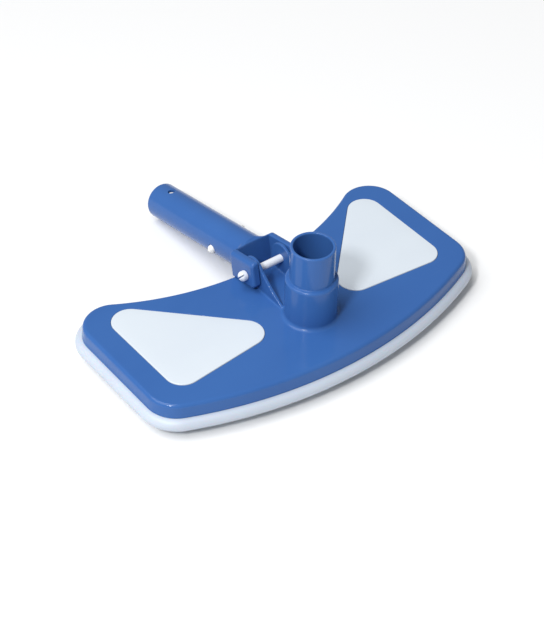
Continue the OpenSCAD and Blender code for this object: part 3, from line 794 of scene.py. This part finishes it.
def bristle_bundle(pad, side, seed):
    """Filaments of two rows of tufts. Tuft t of a row stands at an equal step of angle;
    filament f starts in a disc about it and leans outwards by its place in the disc. Each
    is a four-sided needle of three rings, from 0.3 mm inside the pad down to the floor."""
    rng = np.random.default_rng(seed)
    rows, tufts, hairs = np.meshgrid([-1, 1], np.arange(TUFTS), np.arange(FILAMENTS), indexing="ij")
    margin = math.degrees(ROW_HALF / pad[1])
    angle = np.radians(pad[2] + margin + (pad[3] - pad[2] - 2 * margin) * tufts / (TUFTS - 1) - 90)
    radius = pad[1] + rows * ROW_OFF
    spread = 0.00115 * np.sqrt((hairs + 0.5) / FILAMENTS)
    spin = hairs * 2.399963 + rng.uniform(0, 6.28, tufts.shape[:2])[..., None]
    away = np.stack([spread * np.cos(spin), spread * np.sin(spin)], -1)
    root = np.stack([radius * np.cos(angle), pad[0] + radius * np.sin(angle)], -1) + away
    lean = away * 0.55 + rng.normal(0, 0.00009, away.shape)
    short = rng.uniform(0, 0.00035, angle.shape)
    quarter_turn = np.radians((45, 135, 225, 315))
    ring = FILAMENT_R * np.stack([np.cos(quarter_turn), np.sin(quarter_turn)], -1)
    levels = []
    for share, thick in ((0, 1), (0.55, 0.95), (1, 0.7)):
        flat = root[..., None, :] + (lean * share ** 1.6)[..., None, :] + ring * thick
        height = PAD_UNDER + 0.0003 - share * (PAD_UNDER + 0.0003 - short)
        height = np.broadcast_to(height[..., None, None], flat.shape[:-1] + (1,))
        levels.append(np.concatenate([flat, height], -1))
    points = np.stack(levels, -3).reshape(-1, 12, 3) * (side, 1, 1)
    first_ring = np.array([(i, (i + 1) % 4, 4 + (i + 1) % 4, 4 + i) for i in range(4)])
    sides = np.concatenate([first_ring, first_ring + 4])
    needle = np.concatenate([sides, [(0, 3, 2, 1), (8, 9, 10, 11)]])
    if side > 0:
        needle = needle[:, ::-1]
    faces = (np.arange(len(points))[:, None, None] * 12 + needle).reshape(-1, 4)
    return points.reshape(-1, 3), faces.tolist()


for end, pad in (("front", FRONT_PAD), ("rear", REAR_PAD)):
    for side, side_name in ((-1, "left"), (1, "right")):
        def pad_path(grow, pad=pad, side=side):
            return pad_outline(pad, PAD_HALF + grow, side)
        profile = [(-PAD_HOLD, PAD_UNDER), (-0.0006, PAD_UNDER)]
        profile += quarter(-PAD_EDGE, PAD_UNDER + PAD_EDGE, PAD_EDGE, -90, 4)[1:]
        profile += [(0, PAD_SEAT), (-PAD_HOLD, PAD_SEAT)]
        parts = [strip(pad_path, profile)]
        parts += [flat_region([pad_path(-PAD_HOLD)], z) for z in (PAD_UNDER, PAD_SEAT)]
        name = end + "_" + side_name
        new_piece("brush_pad_" + name, parts, pad_plastic, "head", ("pad_" + name,))
        seed = 11 + 2 * (end == "rear") + (side > 0)
        new_piece("tufts_" + name, [bristle_bundle(pad, side, seed)], bristle_nylon, "head",
                  ("bristles_" + name,), sharp=80, closed=False)

# ---- Screws ------------------------------------------------------------------------------
# Stainless screws with low domed heads and a six-lobed drive recess: eight hold the
# brush pads, and six long ones clamp the base plate to the shell.

STEEL = (0.600, 0.610, 0.630, 1)


def steel(name, colour, roughness):
    """Bare metal: a fine grain, a few scratches, and slightly uneven gloss."""
    material, shader = plain_material(name, colour, roughness)
    tree = material.node_tree
    moulded_marks = tree.nodes.new("ShaderNodeGroup")
    moulded_marks.node_tree = moulded_group
    moulded_marks.inputs["Waviness"].default_value = 0.00001
    moulded_marks.inputs["Grain"].default_value = 0.000004
    moulded_marks.inputs["Grain Size"].default_value = 3500
    worn = tree.nodes.new("ShaderNodeGroup")
    worn.node_tree = worn_group
    tint = tree.nodes.new("ShaderNodeMix")
    tint.data_type = "RGBA"
    tint.inputs["A"].default_value = colour
    tint.inputs["B"].default_value = tuple(c * 0.8 for c in colour[:3]) + (1,)
    tree.links.new(moulded_marks.outputs["Mottle"], tint.inputs["Factor"])
    tree.links.new(tint.outputs["Result"], shader.inputs["Base Color"])
    dull = math_node(tree, "MULTIPLY_ADD", moulded_marks.outputs["Gloss Change"], 0.18, roughness)
    dull = math_node(tree, "MULTIPLY_ADD", worn.outputs["Scratched"], 0.2, dull)
    tree.links.new(dull, shader.inputs["Roughness"])
    bump = tree.nodes.new("ShaderNodeBump")
    bump.inputs["Distance"].default_value = 1.0
    tree.links.new(moulded_marks.outputs["Height"], bump.inputs["Height"])
    tree.links.new(bump.outputs["Normal"], shader.inputs["Normal"])
    shader.inputs["Metallic"].default_value = 1.0
    return material


screw_steel = steel("stainless_steel", STEEL, 0.25)


def tube_of(levels):
    """Joins rings with equal counts of points by quads, and closes both ends with a face."""
    points = np.concatenate(levels)
    count = len(levels[0])
    k, i = np.meshgrid(np.arange(len(levels) - 1), np.arange(count), indexing="ij")
    j = (i + 1) % count
    faces = np.stack([k * count + i, k * count + j, (k + 1) * count + j, (k + 1) * count + i], -1)
    caps = [list(range(count))[::-1], list(range(len(points) - count, len(points)))]
    return points, faces.reshape(-1, 4).tolist() + caps


def screw(places, head_r, head_h, under, shank_r, shank_top):
    """Screws with their heads down: a recess with six lobes in a domed head, a rim, the
    flat seat under the head and the shank. Ring k has its own radius, height and lobes."""
    turn = np.linspace(0, 2 * np.pi, 49)[:-1]
    foot = under - head_h
    rings = [(0.0001, foot + head_h * 0.75, 0), (0.42 * head_r, foot + head_h * 0.75, 0.13),
             (0.46 * head_r, foot + 0.0001, 0.13), (0.6 * head_r, foot, 0),
             (0.82 * head_r, foot + 0.1 * head_h, 0), (0.96 * head_r, foot + 0.38 * head_h, 0),
             (head_r, foot + 0.7 * head_h, 0), (head_r, under, 0), (shank_r, under, 0),
             (shank_r, shank_top - shank_r, 0), (0.0001, shank_top, 0)]
    levels = []
    for radius, height, lobes in rings:
        reach = radius * (1 + lobes * np.cos(6 * turn))
        levels.append(np.stack([reach * np.cos(turn), reach * np.sin(turn), np.full(len(turn), height)], -1))
    points, faces = tube_of(levels)
    return [(points + (x, y, 0), faces) for x, y in places]


new_piece("pad_screws", screw(pad_screws, 0.0023, 0.0014, PAD_UNDER, 0.0012, 0.0125), screw_steel,
          "head", ("brush_screws",))
floor_screws = screw(both_sides(BASE_SCREWS), 0.003, 0.0018, BASE_UNDER, BASE_SCREW_R, 0.0185)
new_piece("floor_screws", floor_screws, screw_steel, "head", ("base_screws",))

# ---- Pivot bolt and nut --------------------------------------------------------------------
# A white nylon bolt with a high round head and a straight slot runs through both cheeks
# and both ears. A six-sided nut with chamfered corners closes it on the right.

BOLT_R, HEAD_R, HEAD_H, DOME_H = 0.003, 0.0039, 0.0032, 0.0028
SLOT_WIDTH, SLOT_DEPTH, SLOT_TURN = 0.0011, 0.0034, math.radians(10.8 - 49)
NUT_R, NUT_H, BOLT_END = 0.00577, 0.005, 0.027
NYLON_WHITE, NYLON_SHADE = (0.800, 0.835, 0.890, 1), (0.740, 0.775, 0.835, 1)
bolt_nylon = plastic("bolt_nylon", NYLON_WHITE, NYLON_SHADE, 0.4, edge=0.2, scratches=0.6,
                     grain=0.000005, grain_size=1500)
DOME_R = (HEAD_R ** 2 + DOME_H ** 2) / (2 * DOME_H)


def bolt_distance(x, s, n):
    """Shank and round head along x, less the straight slot. The head is a short cylinder
    under a cap of a sphere."""
    r = tube_distance(s, n)
    face = -CHEEK_OUT - HEAD_H
    cap = np.sqrt((x - (face - DOME_H + DOME_R)) ** 2 + r * r) - DOME_R
    head = round_cut(np.maximum(r - HEAD_R, x + CHEEK_OUT), cap, 0.0003)
    thread = 0.00016 * np.abs(((x * 1000 / 0.8) % 1.0) - 0.5) * 2 * (x > 0.0206)
    shank = round_cut(r - BOLT_R + thread, slab(x, (BOLT_END - 0.022) / 2, (BOLT_END + 0.022) / 2), 0.0004)
    across = n * math.cos(SLOT_TURN) - s * math.sin(SLOT_TURN)
    cut = np.maximum(np.abs(across) - SLOT_WIDTH / 2, x - (face - DOME_H + SLOT_DEPTH))
    return round_cut(np.minimum(head, shank), -cut, 0.0001)


def nut_distance(x, s, n):
    """Six flats, cut back by a cone at both ends, round the hole for the shank."""
    angle = np.arctan2(n, s)
    flats = np.max([np.cos(angle - math.radians(a)) for a in range(30, 390, 60)], axis=0)
    flats = flats * tube_distance(s, n)
    side = np.broadcast_arrays(flats - NUT_R * math.cos(math.radians(30)), x)[0]
    block = round_cut(side, slab(x, CHEEK_OUT + NUT_H / 2, NUT_H / 2), 0.0003)
    cone = tube_distance(s, n) + np.abs(x - CHEEK_OUT - NUT_H / 2) * 0.8 - NUT_R - 0.0011
    return round_cut(np.maximum(block, cone), BOLT_R + 0.00005 - tube_distance(s, n), 0.0003)


small_step = 0.00025
handle_piece("bolt_with_slot", bolt_distance, (-0.0268, -0.0041, -0.0041), (0.0272, 0.0041, 0.0041),
             small_step, bolt_nylon, "pivot_bolt", sharp=45)
handle_piece("hex_nut", nut_distance, (CHEEK_OUT - 0.0002, -0.006, -0.006),
             (CHEEK_OUT + NUT_H + 0.0002, 0.006, 0.006), small_step, bolt_nylon, "pivot_nut",
             sharp=45)

# ---- Latch clip --------------------------------------------------------------------------
# A white acetal spring bent like a hairpin lies inside the tube. Each leg carries a
# button with a cone-shaped tip, which springs out through the wall and locks the pole.

CLIP_T, CLIP_HALF, BEND_AT, BEND_R = 0.0012, 0.0035, 0.036, 0.005
LEG_X, LEG_END, BUTTON_TIP, BUTTON_CONE = 0.0099, 0.062, 0.0172, 0.0022
ACETAL, ACETAL_SHADE = (0.860, 0.865, 0.860, 1), (0.800, 0.805, 0.800, 1)
clip_acetal = plastic("clip_acetal", ACETAL, ACETAL_SHADE, 0.34, edge=0.2, scratches=0.4,
                      grain=0.000003, grain_size=1600)


def at_clip(points):
    """Turns points about the tube's axis by the clip's turn, then places them like the
    handle's points."""
    x, s, n = np.asarray(points).T
    turned_x = x * math.cos(CLIP_TURN) - n * math.sin(CLIP_TURN)
    turned_n = x * math.sin(CLIP_TURN) + n * math.cos(CLIP_TURN)
    return at_pivot(np.stack([turned_x, s, turned_n], -1))


def leaf(line):
    """A spring strip along a line of (x, s) points: at each point a rounded rectangle,
    as thick as the clip, is set square to the line; the two ends are closed."""
    line = np.asarray(line)
    along = np.gradient(line, axis=0)
    along /= np.linalg.norm(along, axis=1, keepdims=True)
    out = np.stack([along[:, 1], -along[:, 0]], -1)
    t, h, c = CLIP_T / 2, CLIP_HALF, 0.00025
    section = np.array([(t, c - h), (t, h - c), (t - c, h), (c - t, h),
                        (-t, h - c), (-t, c - h), (c - t, -h), (t - c, -h)])
    flat = line[:, None, :] + section[None, :, :1] * out[:, None, :]
    across = np.broadcast_to(section[:, 1:], (len(line), 8, 1))
    points, faces = tube_of(list(np.concatenate([flat, across], -1)))
    return at_clip(points), faces


new_piece("spring_bend", [leaf(arc((0, BEND_AT), BEND_R, 180, 360, 25))], clip_acetal, "pole_handle",
          ("clip_bend",))
cone_foot = BUTTON_TIP - BUTTON_CONE
button_profile = [(0, LEG_X + 0.0005), (BUTTON_R, LEG_X + 0.0005), (BUTTON_R, cone_foot - 0.0003),
                  (BUTTON_R - 0.0001, cone_foot), (BUTTON_R - 0.0004, cone_foot + 0.0004),
                  (0.0013, BUTTON_TIP - 0.0003), (0.0009, BUTTON_TIP), (0, BUTTON_TIP)]
for side, side_name in ((-1, "left"), (1, "right")):
    leg_line = np.concatenate([np.linspace((BEND_R, BEND_AT + 0.0003), (LEG_X, BUTTON_AT - 0.006), 12),
                               np.linspace((LEG_X, BUTTON_AT - 0.006), (LEG_X, LEG_END), 12)[1:]])
    new_piece("spring_leg_" + side_name, [leaf(leg_line * (side, 1))], clip_acetal, "latch_" + side_name,
              ("clip_leg_" + side_name,))
    knob, knob_faces = lathe(button_profile, [(0, 0)], 48)[0]
    knob = np.stack([knob[:, 2] * side, knob[:, 0] + BUTTON_AT, knob[:, 1]], -1)
    new_piece("latch_button_" + side_name, [(at_clip(knob), knob_faces)], clip_acetal, "latch_" + side_name,
              ("button_" + side_name,))
